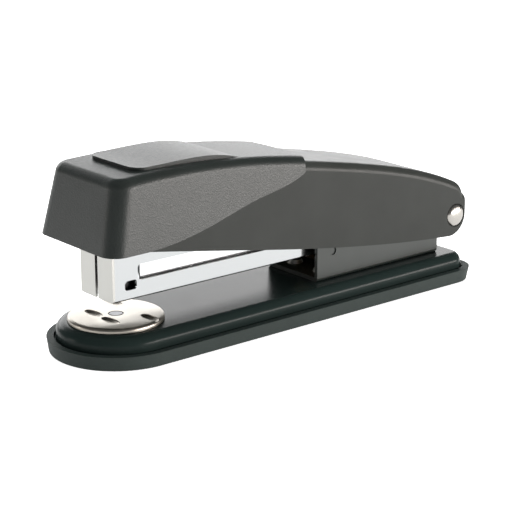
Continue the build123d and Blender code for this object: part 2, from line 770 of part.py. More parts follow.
# ================================================================ handle
shell_front = front + handle_front_inset
handle_run = pivot_x - front
crown = [(shell_front, 50.3)] + [
    (front + handle_run * share, height)
    for share, height in (
        (0.22, 50.4),
        (0.36, 49.3),
        (0.51, 46.9),
        (0.655, 43.4),
        (0.80, 39.2),
        (0.945, 33.3),
        (1.005, 29.9),
    )
]
lower_edge = (
    (pivot_x - 2.4, 13.2),
    (pivot_x - 23.7, 15.1),
    (front + handle_run * 0.545, 20.5),
    (front + handle_run * 0.276, 27.0),
    (shell_front, 30.6),
)


def crown_height(x):
    """Height of the straight line between the crown's points at this X, just under the crown."""
    for (x0, z0), (x1, z1) in zip(crown, crown[1:]):
        if x0 <= x <= x1:
            return z0 + (z1 - z0) * (x - x0) / (x1 - x0)
    raise ValueError(f"the crown has no height at {x}")


with BuildPart() as handle_shell:
    with BuildSketch(Plane.XZ):
        with BuildLine():
            crown_line = Spline(*crown)
            shoulder = TangentArc(
                crown_line @ 1, (handle_rear, pivot_height + handle_shoulder), tangent=crown_line % 1
            )
            Line(shoulder @ 1, (handle_rear, pivot_height - 0.1))
            heel = RadiusArc((handle_rear, pivot_height - 0.1), lower_edge[0], handle_heel_radius)
            edge_line = Spline(*lower_edge)
            Line(edge_line @ 1, crown[0])
        make_face()
    extrude(amount=handle_width / 2, both=True)
    side_faces = handle_shell.faces().filter_by(Axis.Y)
    fillet([face.edges().sort_by(Axis.Z)[-1] for face in side_faces], handle_edge_radius)
    with BuildSketch(Plane.XZ):
        with BuildLine():
            ceiling = Spline(*[(x, z - handle_wall) for x, z in crown[:-1]])
            Line(ceiling @ 1, (handle_rear - handle_wall, pivot_height + 8.2))
            Line((handle_rear - handle_wall, pivot_height + 8.2), (handle_rear - handle_wall, 0))
            Line((handle_rear - handle_wall, 0), (front, 0))
            Line((front, 0), (front, crown[0][1] - handle_wall))
            Line((front, crown[0][1] - handle_wall), ceiling @ 0)
        make_face()
    extrude(amount=handle_inner, both=True, mode=Mode.SUBTRACT)
    with BuildSketch(Plane.XY):
        with Locations((pivot_x - 1, 0)):
            Rectangle(rear - pivot_x + 2, handle_inner * 2, align=(Align.MIN, Align.CENTER))
    extrude(amount=pivot_height + ear_radius + 1.2, mode=Mode.SUBTRACT)
    with BuildSketch(Plane.XZ):
        with Locations((pivot_x, pivot_height)):
            Circle(pivot_pin_radius + pin_running_gap)
    extrude(amount=handle_width, both=True, mode=Mode.SUBTRACT)
    for side in (-1, 1):
        with BuildSketch(wall_plane(side * handle_width / 2)):
            with Locations((pivot_x, pivot_height)):
                Circle(pin_head_radius + 0.2)
        extrude(amount=side * head_recess_depth, mode=Mode.SUBTRACT)
    for x in post_xs:
        post_top = arm_underside(x) + arm_sheet
        with BuildSketch(Plane.XY.offset(arm_underside(x + post_radius))):
            with Locations((x, 0)):
                Circle(post_radius)
        extrude(amount=arm_sheet + 3)
        with BuildSketch(Plane.XY.offset(post_top + arm_slope * post_boss_radius)):
            with Locations((x, 0)):
                Circle(post_boss_radius)
        extrude(amount=crown_height(x) - handle_wall / 3 - post_top - arm_slope * post_boss_radius)
handle_shell.part.label = "handle_shell"
export_step(handle_shell.part, "parts/handle_shell.step")

cap_front = front + cap_front_inset
cap_rear = front + cap_rear_inset
cap_brow = front + 20
cap_crown = [
    (x, crown_height(max(x, cap_brow)) + cap_wall + lift)
    for x, lift in (
        (front + 8, -cap_seat * 2),
        (cap_brow, cap_seat),
        (front + 30, cap_seat),
        (front + 50, cap_seat * 2),
        (cap_rear, cap_seat * 2),
    )
]
cap_height = cap_crown[1][1] - cap_low
cap_hem = (
    (cap_rear, 45.0),
    (front + 72.5, 42.5),
    (front + 64.8, 40.4),
    (front + 57.2, 39.1),
    (front + 42.4, 35.4),
    (front + 28.2, 32.5),
    (front + 18.1, cap_low),
    (front + 10, cap_low),
)


def cap_plan(height, wall):
    """Plan of the cap at this height above its lower edge, moved in by a wall."""
    lean = height * math.tan(math.radians(cap_lean)) + wall
    draft = height * math.tan(math.radians(cap_draft)) + wall
    nose = cap_front + lean
    front_half = cap_front_width / 2 - draft
    rear_half = cap_rear_width / 2 - draft
    tail = cap_rear + 5
    with BuildSketch() as plan:
        with BuildLine():
            Polyline(
                (nose, -front_half),
                (tail, -rear_half),
                (tail, rear_half),
                (nose, front_half),
                close=True,
            )
        make_face()
        fillet(plan.vertices().group_by(Axis.X)[0], cap_corner_radius - wall)
    return plan.sketch


with BuildPart() as cap_void:
    with BuildSketch(Plane.XY.offset(cap_low)):
        add(cap_plan(0, cap_wall))
    with BuildSketch(Plane.XY.offset(cap_low + cap_height + pad_rise)):
        add(cap_plan(cap_height + pad_rise, cap_wall))
    loft(ruled=True)
    with BuildSketch(Plane.XZ):
        with BuildLine():
            inner_brow = Spline(*[(x, z - cap_wall) for x, z in cap_crown])
            Line(inner_brow @ 1, (cap_rear + 5, cap_crown[-1][1] - cap_wall - 1))
            Line((cap_rear + 5, cap_crown[-1][1] - cap_wall - 1), (cap_rear + 5, cap_low))
            Line((cap_rear + 5, cap_low), (front, cap_low))
            Line((front, cap_low), (front, cap_crown[0][1] - 2))
            Line((front, cap_crown[0][1] - 2), inner_brow @ 0)
        make_face()
    extrude(amount=cap_front_width, both=True, mode=Mode.INTERSECT)

with BuildPart() as thumb_pad:
    with BuildSketch(Plane.XY.offset(cap_low + cap_height / 2)):
        with Locations((front + pad_front_inset, 0)):
            Rectangle(pad_length, pad_half_width * 2, align=(Align.MIN, Align.CENTER))
    extrude(amount=cap_height)
    fillet(thumb_pad.edges().filter_by(Axis.Z).group_by(Axis.X)[0], pad_corner_radius)
    with BuildSketch(Plane.XZ):
        with BuildLine():
            pad_top = Spline(
                (front + pad_front_inset - 1, cap_crown[1][1] + pad_rise),
                (front + 30, cap_crown[2][1] + pad_rise),
                (front + 50, cap_crown[3][1] + pad_rise * 0.6),
                (front + pad_front_inset + pad_length, cap_crown[4][1] + 0.9),
            )
            Line(pad_top @ 1, (pad_top @ 1) - (0, 2.2))
            Line((pad_top @ 1) - (0, 2.2), (front + 40, cap_crown[2][1] - cap_wall / 2 - 0.5))
            Line((front + 40, cap_crown[2][1] - cap_wall / 2 - 0.5), (pad_top @ 0) - (0, 1.5))
            Line((pad_top @ 0) - (0, 1.5), pad_top @ 0)
        make_face()
    extrude(amount=pad_half_width, both=True, mode=Mode.INTERSECT)

with BuildPart() as nose_cap:
    with BuildSketch(Plane.XY.offset(cap_low)):
        add(cap_plan(0, 0))
    with BuildSketch(Plane.XY.offset(cap_low + cap_height + pad_rise)):
        add(cap_plan(cap_height + pad_rise, 0))
    loft(ruled=True)
    with BuildSketch(Plane.XZ):
        with BuildLine():
            brow = Spline(*cap_crown)
            Line(brow @ 1, cap_hem[0])
            hem = Spline(*cap_hem)
            Line(hem @ 1, (front, cap_low))
            Line((front, cap_low), (front, cap_crown[0][1] - 1))
            Line((front, cap_crown[0][1] - 1), cap_crown[0])
        make_face()
    extrude(amount=cap_front_width, both=True, mode=Mode.INTERSECT)
    top_face = nose_cap.faces().sort_by(Axis.Z)[-1]
    fillet(top_face.edges().filter_by(lambda e: e.center().X < cap_rear - 1), cap_edge_radius)
    with BuildSketch(Plane.XY.offset(cap_low)):
        with BuildLine():
            tail = ThreePointArc(
                (cap_rear - cap_rear_bow, -cap_front_width / 2),
                (cap_rear, 0),
                (cap_rear - cap_rear_bow, cap_front_width / 2),
            )
            Polyline(
                tail @ 1,
                (front, cap_front_width / 2),
                (front, -cap_front_width / 2),
                tail @ 0,
            )
        make_face()
    extrude(amount=cap_height * 2, mode=Mode.INTERSECT)
    add(thumb_pad.part)
    add(cap_void.part, mode=Mode.SUBTRACT)
nose_cap.part.label = "nose_cap"
export_step(nose_cap.part, "parts/nose_cap.step")
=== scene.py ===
"""Looks of a desktop stapler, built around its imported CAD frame.

Row frame, in metres: +X runs to the rear pivot, +Y across the stapler, +Z up, and the
origin is on the table under the middle of the base.
"""

import json
import logging
import math
from dataclasses import dataclass
from enum import Enum
from typing import Callable

import bpy
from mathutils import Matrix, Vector


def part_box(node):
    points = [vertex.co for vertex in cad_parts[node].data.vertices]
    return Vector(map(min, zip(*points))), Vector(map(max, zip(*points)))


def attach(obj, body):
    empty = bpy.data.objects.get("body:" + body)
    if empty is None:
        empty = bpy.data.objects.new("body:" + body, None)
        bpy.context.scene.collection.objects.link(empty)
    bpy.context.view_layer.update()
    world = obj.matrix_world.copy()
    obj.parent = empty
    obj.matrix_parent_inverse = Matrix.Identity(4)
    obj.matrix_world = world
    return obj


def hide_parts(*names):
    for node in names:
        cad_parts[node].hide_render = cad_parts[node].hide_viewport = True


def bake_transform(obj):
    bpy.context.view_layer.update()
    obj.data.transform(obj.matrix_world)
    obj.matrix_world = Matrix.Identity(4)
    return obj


MM = 0.001
MERGE = 0.001 * MM
SMOOTH_UNDER = math.radians(35)
LOG = logging.getLogger("stapler")

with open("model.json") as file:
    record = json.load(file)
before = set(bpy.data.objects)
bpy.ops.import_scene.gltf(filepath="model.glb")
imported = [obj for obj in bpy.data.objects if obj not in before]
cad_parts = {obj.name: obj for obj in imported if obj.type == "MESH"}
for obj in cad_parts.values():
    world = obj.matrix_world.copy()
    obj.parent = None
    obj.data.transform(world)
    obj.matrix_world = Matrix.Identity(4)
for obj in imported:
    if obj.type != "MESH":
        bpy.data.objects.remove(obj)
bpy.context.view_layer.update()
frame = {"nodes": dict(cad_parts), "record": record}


# ------------------------------------------------------------------ finishes
class Shader:
    """A material's node tree while it is being wired."""

    def __init__(self, name: str) -> None:
        """Starts an empty material with a Principled shader.

        Args:
            name: the material's name.
        """
        self.material = bpy.data.materials.new(name)
        self.material.use_nodes = True
        self.tree = self.material.node_tree
        self.tree.nodes.clear()
        self.output = self.tree.nodes.new("ShaderNodeOutputMaterial")
        self.surface = self.tree.nodes.new("ShaderNodeBsdfPrincipled")
        self.tree.links.new(self.surface.outputs["BSDF"], self.output.inputs["Surface"])
        self.place = self.tree.nodes.new("ShaderNodeTexCoord")

    def set(self, **sockets: object) -> None:
        """Sets constants on the shader's own sockets; underscores stand for spaces.

        Args:
            sockets: socket name and value.
        """
        for name, value in sockets.items():
            self.surface.inputs[name.replace("_", " ")].default_value = value

    def stretched(self, scale: tuple[float, float, float]) -> bpy.types.NodeSocket:
        """Object coordinates scaled by axis.

        Args:
            scale: factor along X, Y and Z.

        Returns:
            The vector socket to read.
        """
        mapping = self.tree.nodes.new("ShaderNodeMapping")
        mapping.inputs["Scale"].default_value = scale
        self.tree.links.new(self.place.outputs["Object"], mapping.inputs["Vector"])
        return mapping.outputs["Vector"]

    def noise(
        self,
        cell: float,
        detail: float = 2.0,
        stretch: tuple[float, float, float] = (1.0, 1.0, 1.0),
    ) -> bpy.types.NodeSocket:
        """A cloud of a given cell size.

        Args:
            cell: size of one cell, in metres.
            detail: how many finer layers it has.
            stretch: factor on the coordinates by axis.

        Returns:
            The noise's value socket.
        """
        node = self.tree.nodes.new("ShaderNodeTexNoise")
        node.inputs["Scale"].default_value = 1.0 / cell
        node.inputs["Detail"].default_value = detail
        self.tree.links.new(self.stretched(stretch), node.inputs["Vector"])
        return node.outputs["Fac"]

    def cells(self, cell: float) -> bpy.types.NodeSocket:
        """Distance inside rounded cells, for a leather-like grain.

        Args:
            cell: size of one cell, in metres.

        Returns:
            The distance socket.
        """
        node = self.tree.nodes.new("ShaderNodeTexVoronoi")
        node.feature = "SMOOTH_F1"
        node.inputs["Scale"].default_value = 1.0 / cell
        node.inputs["Smoothness"].default_value = 0.6
        self.tree.links.new(self.place.outputs["Object"], node.inputs["Vector"])
        return node.outputs["Distance"]

    def between(
        self, value: bpy.types.NodeSocket, low: float, high: float
    ) -> bpy.types.NodeSocket:
        """Maps a 0 to 1 value to a range.

        Args:
            value: socket to map.
            low: result at 0.
            high: result at 1.

        Returns:
            The mapped value socket.
        """
        node = self.tree.nodes.new("ShaderNodeMapRange")
        node.inputs["To Min"].default_value = low
        node.inputs["To Max"].default_value = high
        self.tree.links.new(value, node.inputs["Value"])
        return node.outputs["Result"]

    def tint(
        self,
        value: bpy.types.NodeSocket,
        first: tuple[float, float, float],
        second: tuple[float, float, float],
    ) -> None:
        """Colours the surface between two colours.

        Args:
            value: socket that picks the colour.
            first: colour where the value is low.
            second: colour where the value is high.
        """
        ramp = self.tree.nodes.new("ShaderNodeValToRGB")
        ramp.color_ramp.elements[0].position = 0.3
        ramp.color_ramp.elements[1].position = 0.7
        ramp.color_ramp.elements[0].color = (*first, 1.0)
        ramp.color_ramp.elements[1].color = (*second, 1.0)
        self.tree.links.new(value, ramp.inputs["Fac"])
        self.tree.links.new(ramp.outputs["Color"], self.surface.inputs["Base Color"])

    def rough(self, value: bpy.types.NodeSocket, low: float, high: float) -> None:
        """Lets the roughness wander.

        Args:
            value: socket that drives it.
            low: roughness at 0.
            high: roughness at 1.
        """
        result = self.between(value, low, high)
        self.tree.links.new(result, self.surface.inputs["Roughness"])

    def ahead_of(self, x: float) -> bpy.types.NodeSocket:
        """Marks what lies nearer the nose than a plane across the stapler.

        Args:
            x: place of the plane, in metres.

        Returns:
            A socket that is 1 ahead of the plane and 0 behind it.
        """
        split = self.tree.nodes.new("ShaderNodeSeparateXYZ")
        self.tree.links.new(self.place.outputs["Object"], split.inputs["Vector"])
        test = self.tree.nodes.new("ShaderNodeMath")
        test.operation = "LESS_THAN"
        test.inputs[1].default_value = x
        self.tree.links.new(split.outputs["X"], test.inputs[0])
        return test.outputs["Value"]

    def relief(self, *layers: tuple[bpy.types.NodeSocket, float]) -> None:
        """Adds bump layers.

        Args:
            layers: height socket and depth in metres of each layer.
        """
        below = None
        for height, depth in layers:
            bump = self.tree.nodes.new("ShaderNodeBump")
            bump.inputs["Distance"].default_value = depth
            self.tree.links.new(height, bump.inputs["Height"])
            if below is not None:
                self.tree.links.new(below, bump.inputs["Normal"])
            below = bump.outputs["Normal"]
        if below is not None:
            self.tree.links.new(below, self.surface.inputs["Normal"])


def shade(colour: tuple[float, float, float], factor: float) -> tuple[float, float, float]:
    """A colour made lighter or darker.

    Args:
        colour: linear red, green and blue.
        factor: multiplier.

    Returns:
        The new colour.
    """
    return tuple(channel * factor for channel in colour)


@dataclass(frozen=True)
class MouldedPlastic:
    """Plastic with a moulded grain.

    Attributes:
        colour: linear base colour.
        roughness: middle roughness.
        sheen: level of the plain reflection.
        grain: size of the grain in metres.
        depth: depth of the grain in metres.
    """

    colour: tuple[float, float, float]
    roughness: float
    sheen: float
    grain: float
    depth: float

    def build(self, name: str) -> bpy.types.Material:
        """Wires the material.

        Args:
            name: the material's name.

        Returns:
            The material.
        """
        shader = Shader(name)
        shader.tint(shader.noise(9 * MM, 3), shade(self.colour, 0.9), shade(self.colour, 1.1))
        shader.rough(shader.noise(self.grain * 2, 2), self.roughness - 0.06, self.roughness + 0.06)
        shader.relief(
            (shader.cells(self.grain), self.depth),
            (shader.noise(self.grain * 0.45, 2), self.depth * 0.5),
        )
        shader.set(Specular_IOR_Level=self.sheen)
        return shader.material


@dataclass(frozen=True)
class Enamel:
    """Stoved paint on pressed steel, from satin to full gloss.

    Attributes:
        colour: linear base colour.
        roughness: middle roughness.
        sheen: level of the plain reflection.
        peel: depth of the orange peel in metres.
    """

    colour: tuple[float, float, float]
    roughness: float
    sheen: float
    peel: float

    def build(self, name: str) -> bpy.types.Material:
        """Wires the material.

        Args:
            name: the material's name.

        Returns:
            The material.
        """
        shader = Shader(name)
        shader.tint(shader.noise(14 * MM, 3), shade(self.colour, 0.92), shade(self.colour, 1.08))
        shader.rough(shader.noise(5 * MM, 4), self.roughness * 0.85, self.roughness * 1.15)
        shader.relief((shader.noise(1.6 * MM, 1), self.peel))
        shader.set(Specular_IOR_Level=self.sheen)
        return shader.material


@dataclass(frozen=True)
class PlatedMetal:
    """Steel with a bright plating and the fine draw lines of the sheet under it.

    Attributes:
        colour: linear reflection colour.
        roughness: middle roughness.
        lines: depth of the draw lines in metres.
        along: factor on the coordinates, small along the lines.
    """

    colour: tuple[float, float, float]
    roughness: float
    lines: float
    along: tuple[float, float, float] = (0.06, 1.0, 1.0)

    def build(self, name: str) -> bpy.types.Material:
        """Wires the material.

        Args:
            name: the material's name.

        Returns:
            The material.
        """
        shader = Shader(name)
        shader.tint(shader.noise(6 * MM, 3), shade(self.colour, 0.93), shade(self.colour, 1.04))
        draw = shader.noise(0.35 * MM, 3, self.along)
        shader.rough(draw, self.roughness * 0.75, self.roughness * 1.3)
        shader.relief((draw, self.lines))
        shader.set(Metallic=1.0)
        return shader.material


@dataclass(frozen=True)
class FoldedChrome:
    """Chromed sheet whose folded nose tabs are ground dull.

    Attributes:
        colour: linear colour of the bright sides.
        tab_colour: linear colour of the ground tabs.
        roughness: roughness of the sides.
        tab_roughness: roughness of the tabs.
        tab_depth: how far the tabs reach behind the nose, in metres.
        lines: depth of the grinding lines in metres.
    """

    colour: tuple[float, float, float]
    tab_colour: tuple[float, float, float]
    roughness: float
    tab_roughness: float
    tab_depth: float
    lines: float

    def build(self, name: str) -> bpy.types.Material:
        """Wires the material.

        Args:
            name: the material's name.

        Returns:
            The material.
        """
        shader = Shader(name)
        nose = Vector(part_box("magazine_channel")[0]).x
        tab = shader.ahead_of(nose + self.tab_depth)
        shader.tint(tab, self.colour, self.tab_colour)
        shader.rough(tab, self.roughness, self.tab_roughness)
        shader.relief((shader.noise(0.3 * MM, 3, (1.0, 1.0, 0.05)), self.lines))
        shader.set(Metallic=1.0)
        return shader.material


class Slot(Enum):
    """The record's material slots."""

    SHOE = "shoe_plastic"
    PAN = "pan_enamel"
    BRACKET = "bracket_paint"
    HANDLE = "handle_satin"
    CAP = "cap_grain"
    CHROME = "chrome"
    RAIL = "rail_steel"
    NICKEL = "nickel"
    ANVIL = "anvil_nickel"
    PIN = "pin_steel"
    ZINC = "zinc_steel"
    SPRING = "spring_steel"
    BRONZE = "spring_bronze"
    BRASS = "brass_rivet"
    PUSHER = "pusher_steel"
    BLADE = "blade_steel"
    BLOCK = "block_plastic"


DRAWN_EVENLY = (1.0, 1.0, 1.0)
DRAWN_UPRIGHT = (1.0, 1.0, 0.06)
FINISHES = {
    Slot.SHOE: MouldedPlastic((0.019, 0.028, 0.0255), 0.62, 0.25, 0.5 * MM, 0.012 * MM),
    Slot.PAN: Enamel((0.013, 0.021, 0.0195), 0.24, 0.075, 0.003 * MM),
    Slot.BRACKET: Enamel((0.022, 0.028, 0.025), 0.36, 0.5, 0.004 * MM),
    Slot.HANDLE: Enamel((0.030, 0.0325, 0.030), 0.36, 0.15, 0.003 * MM),
    Slot.CAP: MouldedPlastic((0.014, 0.018, 0.0165), 0.42, 0.4, 0.42 * MM, 0.035 * MM),
    Slot.CHROME: FoldedChrome(
        (0.5, 0.515, 0.52), (0.42, 0.42, 0.4), 0.14, 0.32, 0.75 * MM, 0.0006 * MM
    ),
    Slot.RAIL: PlatedMetal((0.85, 0.86, 0.87), 0.16, 0.0008 * MM),
    Slot.NICKEL: PlatedMetal((0.4, 0.385, 0.36), 0.22, 0.0005 * MM, DRAWN_EVENLY),
    Slot.ANVIL: PlatedMetal((0.36, 0.335, 0.295), 0.32, 0.0015 * MM, DRAWN_EVENLY),
    Slot.PIN: PlatedMetal((0.13, 0.13, 0.135), 0.34, 0.001 * MM, DRAWN_EVENLY),
    Slot.ZINC: PlatedMetal((0.5, 0.5, 0.48), 0.34, 0.001 * MM),
    Slot.SPRING: PlatedMetal((0.5, 0.5, 0.5), 0.28, 0.0005 * MM),
    Slot.BRONZE: PlatedMetal((0.45, 0.33, 0.18), 0.3, 0.0008 * MM),
    Slot.BRASS: PlatedMetal((0.75, 0.55, 0.28), 0.25, 0.0005 * MM, DRAWN_EVENLY),
    Slot.PUSHER: PlatedMetal((0.6, 0.6, 0.6), 0.3, 0.001 * MM),
    Slot.BLADE: PlatedMetal((0.5, 0.5, 0.51), 0.25, 0.001 * MM, DRAWN_UPRIGHT),
    Slot.BLOCK: MouldedPlastic((0.02, 0.02, 0.02), 0.5, 0.5, 0.4 * MM, 0.008 * MM),
}


# ------------------------------------------------------------------ studio
@dataclass
class Studio:
    """Floor, soft light and the camera.

    Attributes:
        azimuth: where the camera stands, in degrees, 0 in front of the near side.
        elevation: height of the camera above the horizon, in degrees.
        distance: from the camera to its target, in metres.
        lens: focal length in millimetres.
        target: point the camera looks at.
        sensor: width of the camera's sensor in millimetres.
        room_light: strength of the even light of the room.
        floor_size: side of the floor, in metres.
        floor_drop: gap between the stapler and the floor, in metres.
        floor_glow: light that the floor gives to the stapler.
        floor_white: light that the floor shows to the camera.
        aim: point that every panel faces.
    """

    azimuth: float = -39.56
    elevation: float = 16.90
    distance: float = 0.4814
    lens: float = 117.0
    target: Vector = Vector((-0.00239, 0.0, 0.01667))
    sensor: float = 36.0
    room_light: float = 0.14
    floor_size: float = 12.0
    floor_drop: float = 0.1 * MM
    floor_glow: float = 0.55
    floor_white: float = 0.88
    aim: Vector = Vector((0.0, 0.0, 0.02))

    def camera(self) -> None:
        """Makes the camera and hands it to the scene."""
        turn = math.radians(self.azimuth)
        tilt = math.radians(self.elevation)
        back = Vector(
            (math.sin(turn) * math.cos(tilt), -math.cos(turn) * math.cos(tilt), math.sin(tilt))
        )
        bpy.ops.object.camera_add(location=self.target + back * self.distance)
        camera = bpy.context.object
        camera.name = "studio_camera"
        camera.rotation_mode = "QUATERNION"
        camera.rotation_quaternion = (-back).to_track_quat("-Z", "Y")
        camera.data.lens = self.lens
        camera.data.sensor_width = self.sensor
        camera.data.clip_start = 0.01
        camera.data.clip_end = 50.0
        bpy.context.scene.camera = camera

    def panel(
        self,
        name: str,
        place: tuple[float, float, float],
        size: tuple[float, float],
        power: float,
        colour: tuple[float, float, float] = (1.0, 1.0, 1.0),
    ) -> bpy.types.Object:
        """Hangs a rectangular soft light that faces the stapler.

        Args:
            name: the light's name.
            place: its middle, in metres.
            size: width and height, in metres.
            power: in watts.
            colour: linear colour of its light.

        Returns:
            The light.
        """
        bpy.ops.object.light_add(type="AREA", location=place)
        light = bpy.context.object
        light.name = name
        light.data.shape = "RECTANGLE"
        light.data.size, light.data.size_y = size
        light.data.energy = power
        light.data.color = colour
        light.rotation_mode = "QUATERNION"
        light.rotation_quaternion = (self.aim - Vector(place)).to_track_quat("-Z", "Y")
        light.visible_camera = False
        return light

    def floor(self) -> None:
        """Lays a plain pale floor."""
        bpy.ops.mesh.primitive_plane_add(size=self.floor_size, location=(0, 0, -self.floor_drop))
        ground = bpy.context.object
        ground.name = "studio_floor"
        shader = Shader("floor_paper")
        shader.set(Base_Color=(0.9, 0.9, 0.9, 1.0), Roughness=0.9, Specular_IOR_Level=0.1)
        shader.set(Emission_Color=(1.0, 1.0, 1.0, 1.0))
        seen = shader.tree.nodes.new("ShaderNodeLightPath").outputs["Is Camera Ray"]
        glow = shader.between(seen, self.floor_glow, self.floor_white)
        shader.tree.links.new(glow, shader.surface.inputs["Emission Strength"])
        ground.data.materials.append(shader.material)

    def sky(self) -> None:
        """Fills the room with a weak even light."""
        world = bpy.data.worlds.new("studio_room")
        world.use_nodes = True
        background = world.node_tree.nodes["Background"]
        background.inputs["Color"].default_value = (1.0, 1.0, 1.0, 1.0)
        seen = world.node_tree.nodes.new("ShaderNodeLightPath")
        strength = world.node_tree.nodes.new("ShaderNodeMapRange")
        strength.inputs["To Min"].default_value = self.room_light
        strength.inputs["To Max"].default_value = 1.0
        world.node_tree.links.new(seen.outputs["Is Camera Ray"], strength.inputs["Value"])
        world.node_tree.links.new(strength.outputs["Result"], background.inputs["Strength"])
        bpy.context.scene.world = world

    def build(self) -> None:
        """Sets the whole studio up."""
        bpy.context.scene.view_settings.view_transform = "Standard"
        self.sky()
        self.floor()
        top = self.panel("top_panel", (0.0, 0.1, 1.3), (1.3, 1.1), 18.0)
        top.visible_glossy = False
        self.panel("back_panel", (0.55, 1.15, 0.35), (1.6, 0.55), 10.5)
        self.panel("side_panel", (0.70, -1.0, 0.09), (1.1, 0.24), 18.0, (1.0, 0.945, 0.91))
        self.panel("nose_panel", (-1.15, 0.85, 0.1), (0.35, 0.3), 1.6, (1.0, 0.94, 0.88))
        self.camera()


# ------------------------------------------------------------------ modelling
class Forge:
    """Hand modelling by Blender's own operators, one object at a time.

    Attributes:
        UPRIGHT: rotation of a cylinder that stands along Z.
        ACROSS: rotation of a cylinder that lies along Y.
    """

    UPRIGHT = (0.0, 0.0, 0.0)
    ACROSS = (math.pi / 2, 0.0, 0.0)

    @staticmethod
    def idle() -> None:
        """Leaves edit mode and deselects every object."""
        if bpy.context.object is not None and bpy.context.object.mode != "OBJECT":
            bpy.ops.object.mode_set(mode="OBJECT")
        bpy.ops.object.select_all(action="DESELECT")

    @staticmethod
    def settle(piece: bpy.types.Object) -> None:
        """Puts the place of a primitive into its mesh.

        Args:
            piece: the object to settle.
        """
        Forge.idle()
        bpy.context.view_layer.objects.active = piece
        piece.select_set(True)
        bpy.ops.object.transform_apply(location=True, rotation=True, scale=True)

    @staticmethod
    def cylinder(
        radius: float, depth: float, middle: Vector, turn: tuple[float, float, float], sides: int
    ) -> bpy.types.Object:
        """Adds a cylinder and settles it.

        Args:
            radius: in metres.
            depth: full height in metres.
            middle: its centre.
            turn: rotation by axis in radians.
            sides: number of sides.

        Returns:
            The new object.
        """
        Forge.idle()
        bpy.ops.mesh.primitive_cylinder_add(
            vertices=sides, radius=radius, depth=depth, location=middle, rotation=turn
        )
        piece = bpy.context.object
        Forge.settle(piece)
        return piece

    @staticmethod
    def cut(piece: bpy.types.Object, tool: bpy.types.Object) -> None:
        """Cuts one piece with another, which is used up.

        Args:
            piece: the object that stays.
            tool: the object that is taken away from it.
        """
        Forge.idle()
        bpy.context.view_layer.objects.active = piece
        piece.select_set(True)
        change = piece.modifiers.new("cut", "BOOLEAN")
        change.operation = "DIFFERENCE"
        change.solver = "EXACT"
        change.object = tool
        bpy.ops.object.modifier_apply(modifier=change.name)
        bpy.data.objects.remove(tool, do_unlink=True)

    @staticmethod
    def pick_edges(piece: bpy.types.Object, wanted: Callable[[Vector, Vector], bool]) -> None:
        """Selects edges by the place of their two ends and stays in edit mode.

        Args:
            piece: the object to edit.
            wanted: says whether an edge with these ends is picked.
        """
        Forge.idle()
        bpy.context.view_layer.objects.active = piece
        piece.select_set(True)
        bpy.ops.object.mode_set(mode="EDIT")
        bpy.ops.mesh.select_mode(type="EDGE")
        bpy.ops.mesh.select_all(action="DESELECT")
        bpy.ops.object.mode_set(mode="OBJECT")
        mesh = piece.data
        for edge in mesh.edges:
            first, second = (mesh.vertices[i].co for i in edge.vertices)
            edge.select = wanted(first, second)
        bpy.ops.object.mode_set(mode="EDIT")

    @staticmethod
    def finish(piece: bpy.types.Object, name: str, node: str, slot: Slot) -> None:
        """Names a piece, smooths it, dresses it and puts it in a CAD node's place.

        Args:
            piece: the finished object.
            name: its name.
            node: the CAD node it replaces.
            slot: the finish it gets.
        """
        Forge.idle()
        bpy.context.view_layer.objects.active = piece
        piece.select_set(True)
        bpy.ops.object.mode_set(mode="EDIT")
        bpy.ops.mesh.select_all(action="SELECT")
        bpy.ops.mesh.remove_doubles(threshold=MERGE)
        bpy.ops.mesh.normals_make_consistent(inside=False)
        bpy.ops.object.mode_set(mode="OBJECT")
        bpy.ops.object.shade_smooth_by_angle(angle=SMOOTH_UNDER)
        piece.name = name
        dress(piece, slot)
        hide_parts(node)
        LOG.info("built %s for %s", name, node)


def finish_of(slot: Slot) -> bpy.types.Material:
    """The material of a slot, wired on first use.

    Args:
        slot: the material slot.

    Returns:
        The material.
    """
    name = "finish_" + slot.value
    return bpy.data.materials.get(name) or FINISHES[slot].build(name)


def dress(piece: bpy.types.Object, slot: Slot) -> None:
    """Gives a piece the only material it has.

    Args:
        piece: the object to dress.
        slot: the finish it gets.
    """
    piece.data.materials.clear()
    piece.data.materials.append(finish_of(slot))


